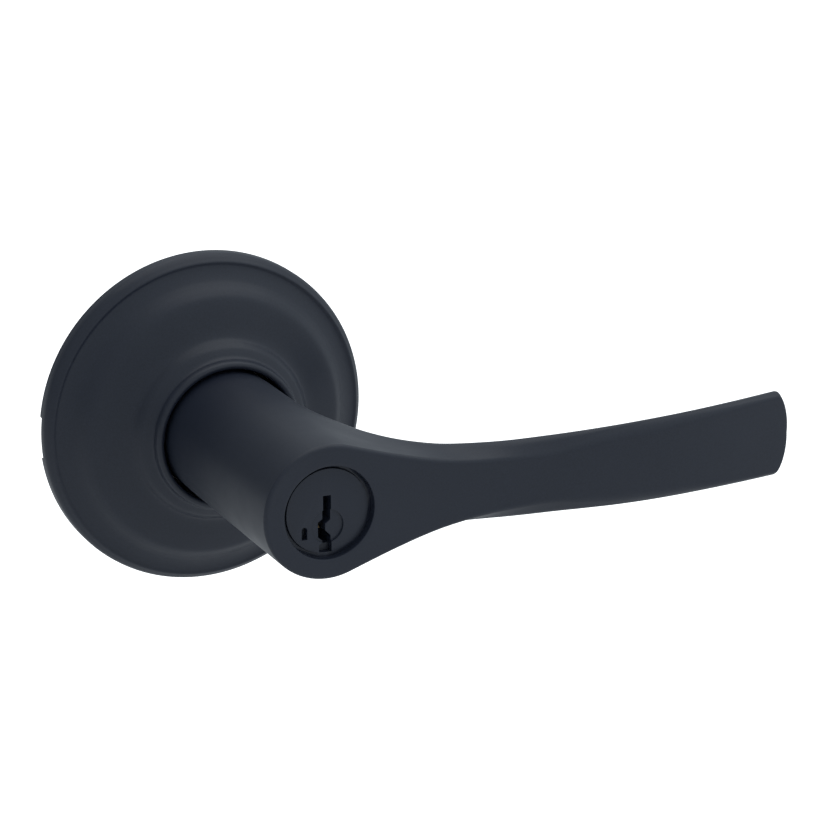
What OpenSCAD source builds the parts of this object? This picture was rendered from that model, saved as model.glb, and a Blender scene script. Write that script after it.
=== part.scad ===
// Keyed lever set, outside half: rose, sprung chassis, lever, lock cylinder and spindle.
// +X points along the lever, -Y out of the door towards the user, +Z up.
// The origin is the centre of the rose on the face of the door.
// Each part is drawn lying down, with its own +Z out of the door, and out_of_door() stands it up.

/* [Rose] */
// Outside diameter of the rose
rose_d = 80; // [74:1:96]
// Height of the collar's lip above the door
rose_h = 18.6; // [17:0.1:22]
// Sheet thickness of the rose
rose_t = 1.2; // [0.8:0.1:1.5]
// Gap between the rose's lip and the lever's neck
neck_gap = 0.9; // [0.5:0.1:1.2]
// Height of the pry notch in the rim, along the rim
notch_w = 10; // [6:1:14]

/* [Lever] */
// Diameter of the lever's neck and hub
neck_d = 30.6; // [29:0.2:34]
// Distance from the door to the hub's flat face
hub_face = 75; // [68:1:90]
// Distance from the lock's axis to the lever's tip
reach = 118.6; // [100:1:142]
// Narrowest width of the arm's front face
waist_w = 11; // [9:0.5:13]
// Full width of the arm at its tip
tip_w = 21; // [18:0.5:25]
// Thickness of the arm
arm_t = 8.2; // [7:0.2:10]
// How far the arm bows out past the hub face
bow = 1.1; // [0:0.1:3]
// How far the tip falls back behind the hub face
tip_drop = 3.6; // [0:0.2:6]
// Angle where the arm's edges leave the hub's circle
leave_angle = 16.8; // [12:0.2:22]
// Wall between the hub face and the cylinder pocket
lip_t = 2; // [1.5:0.1:3]
// Diameter of the opening in the hub face
lip_d = 21.1; // [20.2:0.1:22]

/* [Lock cylinder] */
// Diameter of the cylinder body
cyl_d = 23; // [22.6:0.1:23]
// Length of the cylinder body
cyl_l = 24.5; // [23:0.5:27]
// Diameter of the plug's face
plug_face_d = 19.2; // [18.4:0.1:19.6]
// Diameter of the plug's barrel
plug_d = 16; // [15.6:0.1:17]
// How far the plug's face sits behind the hub face
plug_sink = 1.5; // [1:0.1:1.9]
// Spacing of the tumbler wafers
wafer_pitch = 3.4; // [3:0.1:3.6]
// Thickness of each wafer
wafer_t = 1.2; // [0.9:0.1:1.4]
// Travel of each wafer, up and down
wafer_travel = 0.8; // [0.4:0.1:0.9]

/* [Chassis] */
// Diameter of the boss that fits the hole in the door
boss_d = 52.8; // [50:0.1:53.8]
// Depth of the boss behind the face of the door
boss_l = 12; // [11:0.5:16]
// Thickness of the mounting plate
plate_t = 2; // [1.5:0.1:2.5]
// Wall of the spring housing
housing_t = 1.8; // [1.4:0.1:2.4]
// Distance between the two mounting stems
stem_pitch = 38.1; // [38:0.1:40]
// Diameter of each mounting stem
stem_d = 7; // [6:0.2:7.4]
// Length of each stem behind the door's face
stem_l = 24; // [20:1:32]
// Diameter of the threaded hole in each stem
stem_hole_d = 4.2; // [3.4:0.1:4.4]

/* [Spindle] */
// Outside diameter of the spindle tube
tube_d = 23.1; // [22.8:0.1:23.1]
// Wall of the spindle tube
tube_t = 1.55; // [1.3:0.05:1.8]
// Reach of the half-round spindle behind the door's face
spindle_l = 55; // [50:1:70]
// Diameter of the half-round spindle
spindle_d = 11; // [10:0.2:11.4]
// How far the tailpiece runs past the half-round spindle
tail_extra = 5; // [3:1:10]
// Width of the tailpiece blade
tail_w = 6.4; // [5:0.1:7]
// Thickness of the tailpiece blade
tail_t = 1.6; // [1.2:0.1:2]
// Turn of the lever each way before it meets its stop
lever_turn = 50; // [40:1:55]
// Wire diameter of the return spring
spring_wire = 1.3; // [1.1:0.1:1.6]

/* [Hidden] */

black = [0.13, 0.15, 0.18];
steel = "silver";
cast = "darkgray";
brass = "goldenrod";

$fn = 64;
eps = 0.01;          // overlap that keeps a cut clean
run = 0.05;          // radial clearance of a running fit
slack = 0.3;         // gap between faces that pass each other
wafer_count = 5;

rose_r = rose_d / 2;
neck_r = neck_d / 2;
lip_r = neck_r + neck_gap;
tube_r = tube_d / 2;
tube_in = tube_r - tube_t;
boss_r = boss_d / 2;
stem_x = stem_pitch / 2;
plug_r = plug_d / 2;
plug_face_r = plug_face_d / 2;
cyl_r = cyl_d / 2;

// Heights above the door, from the hub face inwards
pocket_top = hub_face - lip_t;
plug_front = hub_face - plug_sink;
flange_t = 2.1;
flange_back = plug_front - flange_t;
cyl_front = pocket_top - run;
cyl_back = cyl_front - cyl_l;
clip_t = 0.9;
clip_top = cyl_back - slack;
plug_back = clip_top - clip_t - 1.1;
tube_front = plug_back - 0.8;
neck_base = 8;

// Heights round the spring, behind the door's face
floor_t = 1.5;
cover_t = 1;
driver_t = 2;
tube_end = -boss_l + cover_t + 0.6;
driver_back = tube_end + 0.4;
driver_front = driver_back + driver_t;
end_wall_t = 1.6;

// Bush, washer and ring on the spindle tube
bush_wall = 1.55;
bush_r = tube_r + run + bush_wall;
bush_flange_t = 1.2;
bush_top = plate_t + bush_flange_t;
washer_t = 0.5;
washer_top = bush_top + 0.1 + washer_t;
ring_t = 1;
ring_low = washer_top + slack;
ring_in = tube_r - 0.65;
ring_w = 2.45;

// Return spring and the tabs that its legs hold
coil_r = tube_r + 1.85;
leg_angle = 8.6;
tab_half = 5.5;
fixed_tab = [coil_r + spring_wire / 2 + 1, coil_r + spring_wire / 2 + 2.7];
driver_tab = [fixed_tab[1] + 0.4, fixed_tab[1] + 2.1];
stop_half = 5;
stop_angle = lever_turn + tab_half + stop_half + 0.5;

// Catch on the underside of the neck
catch_h = 28;
catch_r = 2.3;
catch_travel = neck_r - 0.6 - tube_r + run;
catch_shoulder = [1.3, 3.1];

// ---- Frame helpers ----
module out_of_door() { rotate([90, 0, 0]) children(); }

module tube_between(r_out, r_in, low, high) {
    translate([0, 0, low]) difference() {
        cylinder(r = r_out, h = high - low);
        translate([0, 0, -eps]) cylinder(r = r_in, h = high - low + 2 * eps);
    }
}

module disc(r, low, high) { translate([0, 0, low]) cylinder(r = r, h = high - low); }

// Block that is a slice of a ring, centred on an angle
module ring_slice(r_in, r_out, angle, half, low, high) {
    translate([0, 0, low]) rotate([0, 0, angle - half])
        rotate_extrude(angle = 2 * half)
            translate([r_in, 0]) square([r_out - r_in, high - low]);
}

// ---- Wire helpers: a round wire swept along points, none of whose runs follow Z ----
function unit(v) = v / norm(v);
function wire_ring(p, along, r, n) =
    let (side = unit(cross(along, [0, 0, 1])), up = cross(side, along))
    [for (k = [0:n - 1]) p + r * (cos(360 * k / n) * side + sin(360 * k / n) * up)];
module wire(path, r, n) {
    last = len(path) - 1;
    points = [for (i = [0:last])
        each wire_ring(path[i], unit(path[min(i + 1, last)] - path[max(i - 1, 0)]), r, n)];
    sides = [for (i = [0:last - 1]) for (k = [0:n - 1]) let (a = i * n + k, b = i * n + (k + 1) % n)
        each [[a, b, b + n], [a, b + n, a + n]]];
    polyhedron(points, concat(sides, [[for (k = [n - 1:-1:0]) k]], [[for (k = [0:n - 1]) last * n + k]]));
}
function coil(r, low, high, turns, steps, start = 0) = [for (i = [0:turns * steps])
    let (a = start + 360 * i / steps)
    [r * cos(a), r * sin(a), low + (high - low) * i / (turns * steps)]];

// ---- Rose ----
// Outline of the rose's outside, from the rim to the lip: radius, height
rim_round = 1.9;                // radius of the rim's outer corner
rim_clear = 0.1;                // room above the plate inside the rim
rim_h = plate_t + rim_clear + rose_t + 1.3;
function rose_outline() = let (top = rose_h - rim_h, c = [rose_r - rim_round, rim_h - rim_round]) [
    [rose_r, 0],
    for (a = [0:22.5:90]) c + rim_round * [cos(a), sin(a)],
    [rose_r - 3.8, rim_h + 0.05 * top],
    [rose_r - 5.6, rim_h + 0.115 * top],
    [rose_r - 7.8, rim_h + 0.27 * top],
    [rose_r - 9.4, rim_h + 0.36 * top],
    [rose_r - 13, rim_h + 0.44 * top],
    [lip_r + 7.8, rim_h + 0.507 * top],
    [lip_r + 5.5, rim_h + 0.593 * top],
    [lip_r + 4.2, rim_h + 0.72 * top],
    [lip_r + 2.4, rim_h + 0.81 * top],
    [lip_r + 1.9, rim_h + 0.895 * top],
    [lip_r + 1.4, rose_h - 0.2],
    [lip_r + 0.8, rose_h],
    [lip_r, rose_h - 0.4]];
module rose_cover() {
    outside = rose_outline();
    last = len(outside) - 1;
    first_slope = 6;     // first point of the outline past the rounded rim
    under = 1.35 * rose_t;
    skirt = 4;           // depth of the collar's inner wall
    notch_depth = 1.1;
    color(black) out_of_door() difference() {
        rotate_extrude($fn = 128) polygon(concat(
            outside,
            [[lip_r, rose_h - skirt], [lip_r + rose_t, rose_h - skirt - 0.4]],
            [for (i = [last - 3:-1:first_slope]) [outside[i][0], outside[i][1] - under]],
            [[rose_r - rose_t, plate_t + rim_clear], [rose_r - rose_t, 0]]));
        translate([-rose_r - 1, -notch_w / 2, -eps]) cube([rose_t + 1 + eps, notch_w, notch_depth]);
    }
}

// ---- Chassis ----
module stem_places() { for (side = [-1, 1]) translate([side * stem_x, 0, 0]) children(); }
rivet_r = 1.5;
rivet_ring = boss_r - 4.6;
module rivet_places() {
    for (a = [45:90:315]) rotate([0, 0, a]) translate([rivet_ring, 0, 0]) children();
}
stem_neck_r = 2.7;

module mounting_plate() {
    color(steel) out_of_door() difference() {
        disc(rose_r - rose_t - 0.2, 0, plate_t);
        disc(bush_r, -1, plate_t + 1);
        stem_places() disc(stem_neck_r, -1, plate_t + 1);
        rivet_places() disc(rivet_r, -1, plate_t + 1);
    }
}

module spring_housing() {
    color(cast) out_of_door() {
        difference() {
            disc(boss_r, -boss_l, 0);
            disc(boss_r - housing_t, -boss_l - 1, -floor_t);
            disc(tube_r + 0.45, -boss_l, 1);
            stem_places() disc(stem_neck_r, -boss_l, 1);
            rivet_places() disc(rivet_r, -boss_l, 1);
        }
        ring_slice(fixed_tab[0], fixed_tab[1], 90, tab_half, driver_front + 0.5, -floor_t + eps);
        for (side = [-1, 1])
            ring_slice(driver_tab[0], driver_tab[1], 90 + side * stop_angle, stop_half,
                driver_front + 0.5, -floor_t + eps);
    }
}

module spring_cover() {
    color(steel) out_of_door() difference() {
        disc(boss_r - housing_t, -boss_l, -boss_l + cover_t);
        disc(spindle_d / 2 + 0.7, -boss_l - 1, 0);
        stem_places() disc(stem_d / 2, -boss_l - 1, 0);
    }
}

module bearing_bush() {
    color("dimgray") out_of_door() difference() {
        union() {
            disc(bush_r, 0, plate_t + eps);
            disc(bush_r + 1.9, plate_t, bush_top);
        }
        disc(tube_r + run, -1, bush_top + 1);
    }
}

module thrust_washer() {
    color(steel) out_of_door()
        tube_between(bush_r + 0.7, tube_r + 0.1, washer_top - washer_t, washer_top);
}

module mounting_stems() {
    color(steel) out_of_door() stem_places() difference() {
        union() {
            disc(stem_d / 2, -stem_l, -floor_t);
            disc(stem_neck_r, -floor_t - eps, plate_t + eps);
            disc(stem_d / 2 + 0.3, plate_t, plate_t + 1);
        }
        disc(stem_hole_d / 2, -stem_l - 1, -floor_t - 4);
    }
}

module plate_rivets() {
    color(steel) out_of_door() rivet_places() {
        disc(rivet_r, -floor_t - eps, plate_t + eps);
        disc(rivet_r + 1, plate_t, plate_t + 0.9);
        disc(rivet_r + 1, -floor_t - 0.9, -floor_t);
    }
}

// ---- Spring and driver ----
module return_spring() {
    low = driver_front + spring_wire / 2 + 0.35;
    high = -floor_t - spring_wire / 2 - 0.35;
    leg_out = driver_tab[1] - 0.2;
    first = 90 + leg_angle;
    turns = floor((high - low) / (1.1 * spring_wire));
    sweep = turns * 360 - 2 * leg_angle;
    steps = 28 * turns;
    coils = [for (i = [0:steps]) let (a = first + sweep * i / steps)
        [coil_r * cos(a), coil_r * sin(a), low + (high - low) * i / steps]];
    color(steel) out_of_door() wire(concat(
        [leg_out * [cos(first), sin(first), 0] + [0, 0, low]],
        [(coil_r + 1.2) * [cos(first), sin(first), 0] + [0, 0, low]],
        [for (i = [1:steps - 1]) coils[i]],
        [(coil_r + 1.2) * [cos(first + sweep), sin(first + sweep), 0] + [0, 0, high]],
        [leg_out * [cos(first + sweep), sin(first + sweep), 0] + [0, 0, high]]),
        spring_wire / 2, 8);
}

module spring_driver() {
    arm_half = 8;
    driver_lip = 0.25;   // the arm's edge past the tab that stands on it
    color(steel) out_of_door() {
        difference() {
            union() {
                disc(coil_r + 0.9, driver_back, driver_front);
                ring_slice(coil_r, driver_tab[1] + driver_lip, 90, arm_half, driver_back, driver_front);
            }
            disc(tube_r, driver_back - 1, driver_front + 1);
        }
        ring_slice(driver_tab[0], driver_tab[1], 90, tab_half, driver_front - eps, -floor_t - 0.4);
    }
}

// ---- Spindle ----
ring_gap = 60;
module retaining_ring() {
    color(steel) out_of_door()
        ring_slice(ring_in, ring_in + ring_w, 90, 180 - ring_gap / 2, ring_low, ring_low + ring_t);
}

module spindle_tube() {
    color(steel) out_of_door() difference() {
        disc(tube_r, tube_end, tube_front);
        disc(tube_in, tube_end + end_wall_t, tube_front + 1);
        disc(spindle_d / 2 + eps, tube_end - 1, tube_end + end_wall_t + 1);
        tube_between(tube_r + 1, ring_in, ring_low - 0.1, ring_low + ring_t + 0.1);
        translate([0, 0, catch_h]) rotate([90, 0, 0]) cylinder(r = catch_r + 0.1, h = tube_d);
    }
}

module half_round_spindle() {
    wall = 1.4;
    seat = tube_end + end_wall_t;
    color(steel) out_of_door() {
        ring_slice(spindle_d / 2 - wall, spindle_d / 2, 270, 88, -spindle_l, seat + eps);
        tube_between(spindle_d / 2 + 2.5, spindle_d / 2 - wall - 0.6, seat, seat + 1);
    }
}

// Pin that holds the lever on the tube, pushed in from below to take the lever off
module lever_catch() {
    inner = tube_in - 2;
    color(steel) out_of_door() translate([0, 0, catch_h]) rotate([90, 0, 0]) {
        disc(catch_shoulder[1], inner, inner + catch_shoulder[0]);
        disc(catch_r, inner + eps, neck_r - 0.6);
    }
}

// C-shaped leaf that presses the catch outwards from inside the tube
module catch_spring() {
    leaf_t = 0.7;
    leaf_r = tube_in - 1.1;
    color(steel) out_of_door() translate([0, 0.95, catch_h - 2.5])
        ring_slice(leaf_r - leaf_t, leaf_r, 180, 150, 0, 5);
}

// ---- Lever ----
leave_x = neck_r * sin(leave_angle);
leave_z = neck_r * cos(leave_angle);
arm_l = reach - leave_x;
tip_curve = 7.4;     // length of the rounded tip along the arm
tip_power = 3;       // squareness of the rounded tip
base_arm_t = 8.2;    // thickness that the back's law is drawn for

// Cubic curve through knots [place, value], with slopes taken from the neighbours
function knot(k, s, i = 0) = (i >= len(k) - 2 || s < k[i + 1][0]) ? i : knot(k, s, i + 1);
function slope(k, i) = let (a = max(i - 1, 0), b = min(i + 1, len(k) - 1))
    (k[b][1] - k[a][1]) / (k[b][0] - k[a][0]);
function curve(k, s) = let (i = knot(k, s), d = k[i + 1][0] - k[i][0], t = (s - k[i][0]) / d)
    (1 + 2 * t) * pow(1 - t, 2) * k[i][1] + t * pow(1 - t, 2) * d * slope(k, i)
    + t * t * (3 - 2 * t) * k[i + 1][1] + t * t * (t - 1) * d * slope(k, i + 1);

// Laws of the arm along its length, from 0 where it leaves the hub to 1 at its tip
waist = waist_w / 2;
tip = tip_w / 2;
front_law = [[0, 0], [0.16, 0], [0.30, 0.1 * bow], [0.44, 0.72 * bow], [0.55, bow], [0.65, 0.93 * bow],
    [0.75, 0.22 * bow], [0.86, -0.30 * tip_drop], [1, -tip_drop]];
face_law = [[0, leave_z], [0.10, 0.60 * leave_z + 0.40 * waist], [0.20, 0.27 * leave_z + 0.73 * waist],
    [0.31, 0.07 * leave_z + 0.93 * waist], [0.43, waist], [0.50, waist + 0.08 * tip], [0.575, 0.70 * tip],
    [0.70, 0.80 * tip], [0.86, 0.87 * tip], [1, 0.885 * tip]];
side_law = [[0, leave_z], [0.10, 0.31 * leave_z + 0.64 * tip], [0.205, 0.91 * tip], [0.29, 0.885 * tip],
    [0.43, 0.90 * tip], [0.60, 0.93 * tip], [0.80, 0.96 * tip], [1, tip]];
// Depth of the arm's widest line and of its back below the hub face
edge_law = [[0, 37], [0.02, 30.5], [0.05, 25], [0.091, 18.6], [0.14, 13], [0.20, 8.6], [0.27, 5.5],
    [0.347, 2.9], [0.43, 1.6], [0.52, 0.8], [0.61, 0.6], [0.73, 1.2], [0.86, 2.8], [1, 5.1]];
back_law = [[0, 37], [0.02, 31], [0.05, 26.5], [0.091, 21], [0.14, 16.5], [0.20, 13], [0.27, 10.6],
    [0.347, 9.3], [0.43, 8.3], [0.52, 7.5], [0.61, 7.2], [0.73, 7.8], [0.86, 9.3], [1, 11.8]];
// Place of the back's middle line along the arm, which starts on the far side of the neck
function back_x(s) = leave_x + arm_l * s + (neck_r - leave_x) * pow(1 - min(s / 0.5, 1), 2);

// One loop of points round the lever: front face, upper side, back, lower side
face_n = 8;
side_n = 3;
back_n = 12;
wrap = 90 - leave_angle;
function face_row(x, z, h, bulge) = [for (i = [0:face_n]) let (a = wrap * (2 * i / face_n - 1))
    [x - bulge * neck_r * (cos(a) - cos(wrap)), z * sin(a) / sin(wrap), h]];
function back_row(edge, mid, z) = [for (i = [0:back_n]) let (a = wrap * (1 - 2 * i / back_n),
    q = (cos(a) - cos(wrap)) / (1 - cos(wrap)))
    [edge[0] + (mid[0] - edge[0]) * q, z * sin(a) / sin(wrap), edge[1] + (mid[1] - edge[1]) * q]];
function between(a, b, n) = [for (i = [1:n - 1]) a + (b - a) * i / n];
function under(p) = [p[0], -p[1], p[2]];
function on_neck(angle, h) = [neck_r * sin(angle), neck_r * cos(angle), h];

// Loop on the neck and hub: the front row is at turn f of the hub's rim, the back row at height low
function hub_loop(front_h, f, low) =
    let (rim = leave_angle * (2 * f - 1),
        side = [for (i = [1:side_n - 1]) let (w = i / side_n)
            on_neck(rim + (leave_angle - rim) * w, front_h + (low - front_h) * w)])
    concat(face_row(neck_r * sin(rim), neck_r * cos(rim), front_h, 1 - f), side,
        back_row([leave_x, low], [neck_r, low], leave_z),
        [for (i = [side_n - 2:-1:0]) under(side[i])]);

// Loop on the arm at fraction s of its length, its widths times k
function arm_loop(s, k) =
    let (x = leave_x + arm_l * s, z_face = k * min(curve(face_law, s), curve(side_law, s)),
        z_side = k * curve(side_law, s),
        h_face = hub_face + curve(front_law, s), h_edge = hub_face - curve(edge_law, s),
        h_back = hub_face - curve(back_law, s) - (arm_t - base_arm_t) * min(s / 0.3, 1),
        side = between([x, z_face, h_face], [x, z_side, h_edge], side_n))
    concat(face_row(x, z_face, h_face, 0), side,
        back_row([x, h_edge], [back_x(s), h_back], z_side),
        [for (i = [side_n - 2:-1:0]) under(side[i])]);

module lever_skin() {
    tip_s = 1 - tip_curve / arm_l;
    loops = concat(
        [hub_loop(neck_base, 0, neck_base)],
        [for (f = [0:0.25:1]) hub_loop(hub_face, f, hub_face - 47 + 10 * f)],
        [for (s = [0.01:0.01:0.05]) arm_loop(s, 1)],
        [for (s = [0.07:0.025:tip_s]) arm_loop(s, 1)],
        [for (a = [10:20:70]) arm_loop(tip_s + (1 - tip_s) * pow(sin(a), 2 / tip_power),
            pow(cos(a), 2 / tip_power))],
        [arm_loop(1, 0.12)]);
    m = len(loops[0]);
    last = len(loops) - 1;
    back_mid = face_n + side_n + back_n / 2;
    // The two halves are split along mirrored diagonals
    function split(a, b, c, d, lower) = lower ? [[a, b, d], [b, c, d]] : [[a, b, c], [a, c, d]];
    skin = [for (i = [0:last - 1]) for (k = [0:m - 1]) let (n = (k + 1) % m)
        each split(i * m + k, (i + 1) * m + k, (i + 1) * m + n, i * m + n, k < face_n / 2 || k >= back_mid)];
    base_cap = [for (k = [1:m - 2]) [0, k, k + 1]];
    tip_cap = [for (k = [1:m - 2])
        last * m * [1, 1, 1] + [back_mid, (back_mid + k + 1) % m, (back_mid + k) % m]];
    polyhedron([for (l = loops) each l], concat(skin, base_cap, tip_cap));
}

module lever_handle() {
    color(black) out_of_door() difference() {
        lever_skin();
        disc(tube_r + run, neck_base - 1, pocket_top);
        disc(lip_d / 2, pocket_top - 1, hub_face + 1);
        translate([0, 0, catch_h]) rotate([90, 0, 0]) translate([0, 0, tube_in])
            cylinder(r = catch_r + 0.1, h = neck_r);
    }
}

// ---- Lock cylinder ----
sidebar_w = 2.2;
sidebar_in = plug_r - 2.3;
sidebar_low = cyl_back + 2;
sidebar_high = flange_back - 3;
module cylinder_body() {
    color(brass) out_of_door() difference() {
        disc(cyl_r, cyl_back, cyl_front);
        disc(plug_r + run, cyl_back - 1, cyl_front);
        disc(plug_face_r + run, flange_back - 0.05, cyl_front + 1);
        // Groove that the sidebar drops into when the lock is locked
        translate([-plug_r - 0.8, -sidebar_w / 2 - 0.2, sidebar_low - 0.5])
            cube([2, sidebar_w + 0.4, sidebar_high - sidebar_low + 1]);
    }
}

// Outline of the keyway, seen from outside, from its top slot to its open foot
keyway = [[-0.95, 3.5], [0.9, 3.5], [0.9, -2.2], [-0.3, -3.1], [-0.3, -4.6], [0.95, -5.9], [0.95, -11],
    [-2, -11], [-2, -7.6], [-0.9, -7], [-2, -6], [-2, -2.6], [-0.95, -1.9]];
wafer_w = 5.6;
wafer_half = plug_r - 1.7;
slot_t = wafer_t + 0.2;
ear_x = wafer_w / 2 + 1.9;
function wafer_h(i) = cyl_back + 4.2 + wafer_pitch * (i - 1);
spring_low = -4;

module cylinder_plug() {
    wafer_room = wafer_half + wafer_travel + 0.05;
    ear_room = 2.7 + wafer_travel + 0.1;
    color(black) out_of_door() difference() {
        union() {
            disc(plug_r, plug_back, flange_back + eps);
            disc(plug_face_r, flange_back, plug_front);
        }
        tube_between(plug_r + 1, plug_r - 1, clip_top - clip_t - 0.1, clip_top + 0.1);
        translate([0, 0, cyl_back + 1]) linear_extrude(cyl_l + 10) polygon(keyway);
        translate([0, -3.5, plug_front - 0.5]) cylinder(r = 3.8, h = 1);
        // Slot for the resetting tool
        translate([-5.4, -5.1, plug_front - 1.9]) {
            translate([-0.65, -0.8, 0]) cube([1.3, 2.2, 3]);
            translate([0, 1.4, 0]) cylinder(r = 0.65, h = 3);
        }
        for (i = [1:wafer_count]) translate([0, 0, wafer_h(i) - slot_t / 2]) {
            translate([-wafer_w / 2 - 0.05, -wafer_room, 0]) cube([wafer_w + 0.1, 2 * wafer_room, slot_t]);
            translate([0, spring_low, 0]) cube([ear_x + 0.1, ear_room - spring_low, slot_t]);
        }
        translate([-plug_r - 1, -sidebar_w / 2 - 0.05, sidebar_low - 0.05])
            cube([plug_r + 1 - sidebar_in, sidebar_w + 0.1, sidebar_high - sidebar_low + 0.1]);
        for (h = sidebar_spring_h) translate([-sidebar_in - eps, 0, h]) rotate([0, 90, 0])
            cylinder(r = 0.75, h = 2.3);
    }
}

module wafer(i) {
    color(brass) out_of_door() translate([0, 0, wafer_h(i) - wafer_t / 2]) difference() {
        union() {
            translate([-wafer_w / 2, -wafer_half, 0]) cube([wafer_w, 2 * wafer_half, wafer_t]);
            translate([wafer_w / 2 - eps, 1.6, 0]) cube([ear_x - wafer_w / 2, 1.1, wafer_t]);
        }
        translate([-2.15, -wafer_half + 1.1, -1]) cube([3.4, wafer_half + 3.6, wafer_t + 2]);
    }
}
module wafer_1() { wafer(1); }
module wafer_2() { wafer(2); }
module wafer_3() { wafer(3); }
module wafer_4() { wafer(4); }
module wafer_5() { wafer(5); }

module wafer_springs() {
    length = 1.6 - spring_low - 0.3;
    color(steel) out_of_door() for (i = [1:wafer_count])
        translate([ear_x - 0.9, spring_low + 0.15, wafer_h(i)]) rotate([-90, 0, 0])
            wire(coil(0.45, 0.15, length - 0.15, 4, 8), 0.14, 6);
}

module sidebar() {
    color(brass) out_of_door() intersection() {
        disc(plug_r - 0.05, sidebar_low, sidebar_high);
        translate([-plug_r - 1, -sidebar_w / 2, sidebar_low - 1])
            cube([plug_r + 0.9 - sidebar_in, sidebar_w, sidebar_high - sidebar_low + 2]);
    }
}

sidebar_spring_h = [sidebar_low + 1, sidebar_high - 1];
module sidebar_springs() {
    color(steel) out_of_door() for (h = sidebar_spring_h)
        translate([-sidebar_in + 0.05, 0, h]) rotate([0, 90, 0]) wire(coil(0.45, 0.15, 2.1, 3, 8), 0.14, 6);
}

module plug_clip() {
    color(steel) out_of_door()
        ring_slice(plug_r - 0.95, plug_r + 1.3, 90, 150, clip_top - clip_t, clip_top);
}

module tailpiece() {
    head_t = 0.8;
    color(steel) out_of_door() {
        disc(plug_r - 1.2, plug_back - head_t, plug_back);
        translate([-tail_t / 2, -tail_w / 2, -spindle_l - tail_extra])
            cube([tail_t, tail_w, plug_back - head_t + spindle_l + tail_extra + eps]);
    }
}

rose_cover();
mounting_plate();
spring_housing();
spring_cover();
bearing_bush();
thrust_washer();
mounting_stems();
plate_rivets();
return_spring();
spring_driver();
retaining_ring();
spindle_tube();
half_round_spindle();
lever_catch();
catch_spring();
lever_handle();
cylinder_body();
cylinder_plug();
wafer_1();
wafer_2();
wafer_3();
wafer_4();
wafer_5();
wafer_springs();
sidebar();
sidebar_springs();
plug_clip();
tailpiece();
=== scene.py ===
"""Looks of a keyed lever set, outside half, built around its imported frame.

Each sub-assembly is a class that holds its sizes in millimetres, builds its own surfaces as numpy
grids or softens the frame's own solids, and dresses them in procedural finishes.
In the local frame of the shapes here, x runs along the lever, y runs up and h is the height out of
the door; out_of_door() turns that into the shared frame in metres.
"""
from __future__ import annotations

import logging
import math
from dataclasses import dataclass
from enum import Enum

import bmesh
import bpy
import numpy as np
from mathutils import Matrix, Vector


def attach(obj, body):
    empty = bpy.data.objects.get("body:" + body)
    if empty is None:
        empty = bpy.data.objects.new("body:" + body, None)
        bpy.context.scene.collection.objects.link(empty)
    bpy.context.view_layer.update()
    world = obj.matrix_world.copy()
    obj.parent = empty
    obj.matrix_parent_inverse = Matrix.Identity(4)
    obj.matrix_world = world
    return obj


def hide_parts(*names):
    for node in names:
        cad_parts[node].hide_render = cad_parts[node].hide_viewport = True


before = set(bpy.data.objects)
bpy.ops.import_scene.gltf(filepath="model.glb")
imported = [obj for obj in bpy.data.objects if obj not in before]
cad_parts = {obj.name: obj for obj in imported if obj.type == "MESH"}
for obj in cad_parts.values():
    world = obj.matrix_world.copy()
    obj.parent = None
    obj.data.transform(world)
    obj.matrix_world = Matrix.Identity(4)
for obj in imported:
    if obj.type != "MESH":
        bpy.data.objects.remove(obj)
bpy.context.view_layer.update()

MM = 0.001
WELD_GAP = 2e-6  # metres: points closer than this become one
TINY_EDGE = 1e-6  # metres: shorter edges are dissolved
FLAT_DEG = 1.0  # triangles that turn by less lie in one face
BEVEL_DEG = 35.0  # edges that turn by more are rounded
log = logging.getLogger("lever_set")


# ---- Surfaces ----
def out_of_door(points: np.ndarray) -> np.ndarray:
    """Turns local (x, y, h) in millimetres into the shared frame in metres.

    Args:
        points: Array of shape (..., 3), local places.

    Returns:
        Array of the same shape: X is x, Y is minus h and Z is y.
    """
    return np.stack([points[..., 0], -points[..., 2], points[..., 1]], axis=-1) * MM


def unit(vectors: np.ndarray) -> np.ndarray:
    """Vectors scaled to length one along the last axis."""
    return vectors / np.linalg.norm(vectors, axis=-1, keepdims=True)


def curve_through(knots: list[tuple[float, float]], at: np.ndarray) -> np.ndarray:
    """Cubic Hermite curve through knots, each slope taken from the two neighbouring knots.

    Args:
        knots: Pairs of place and value, in rising order of place.
        at: Places at which the curve is wanted.

    Returns:
        The curve's values at those places.
    """
    place, value = (np.array(column, float) for column in zip(*knots))
    last = len(place) - 1
    before = np.maximum(np.arange(last + 1) - 1, 0)
    after = np.minimum(np.arange(last + 1) + 1, last)
    slope = (value[after] - value[before]) / (place[after] - place[before])
    i = np.clip(np.searchsorted(place, at, side="right") - 1, 0, last - 1)
    d = place[i + 1] - place[i]
    t = (at - place[i]) / d
    return (
        (1 + 2 * t) * (1 - t) ** 2 * value[i]
        + t * (1 - t) ** 2 * d * slope[i]
        + t**2 * (3 - 2 * t) * value[i + 1]
        + t**2 * (t - 1) * d * slope[i + 1]
    )


def turned(start: np.ndarray, end: np.ndarray, share: np.ndarray) -> np.ndarray:
    """Unit vectors on the great arc from start to end.

    The arc is sin((1 - w) d) / sin d times start plus sin(w d) / sin d times end, for an angle d.

    Args:
        start: Unit vectors of shape (rows, 3).
        end: Unit vectors of shape (rows, 3).
        share: Fractions w of the way, of shape (columns,).

    Returns:
        Array of shape (rows, columns, 3).
    """
    dot = np.clip(np.sum(start * end, axis=1), -1, 1)
    least_angle = 1e-5  # keeps sin d away from zero where start and end are the same
    d = np.maximum(np.arccos(dot), least_angle)[:, None]
    w = share[None, :]
    a = np.sin((1 - w) * d) / np.sin(d)
    b = np.sin(w * d) / np.sin(d)
    return unit(a[..., None] * start[:, None] + b[..., None] * end[:, None])


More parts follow.
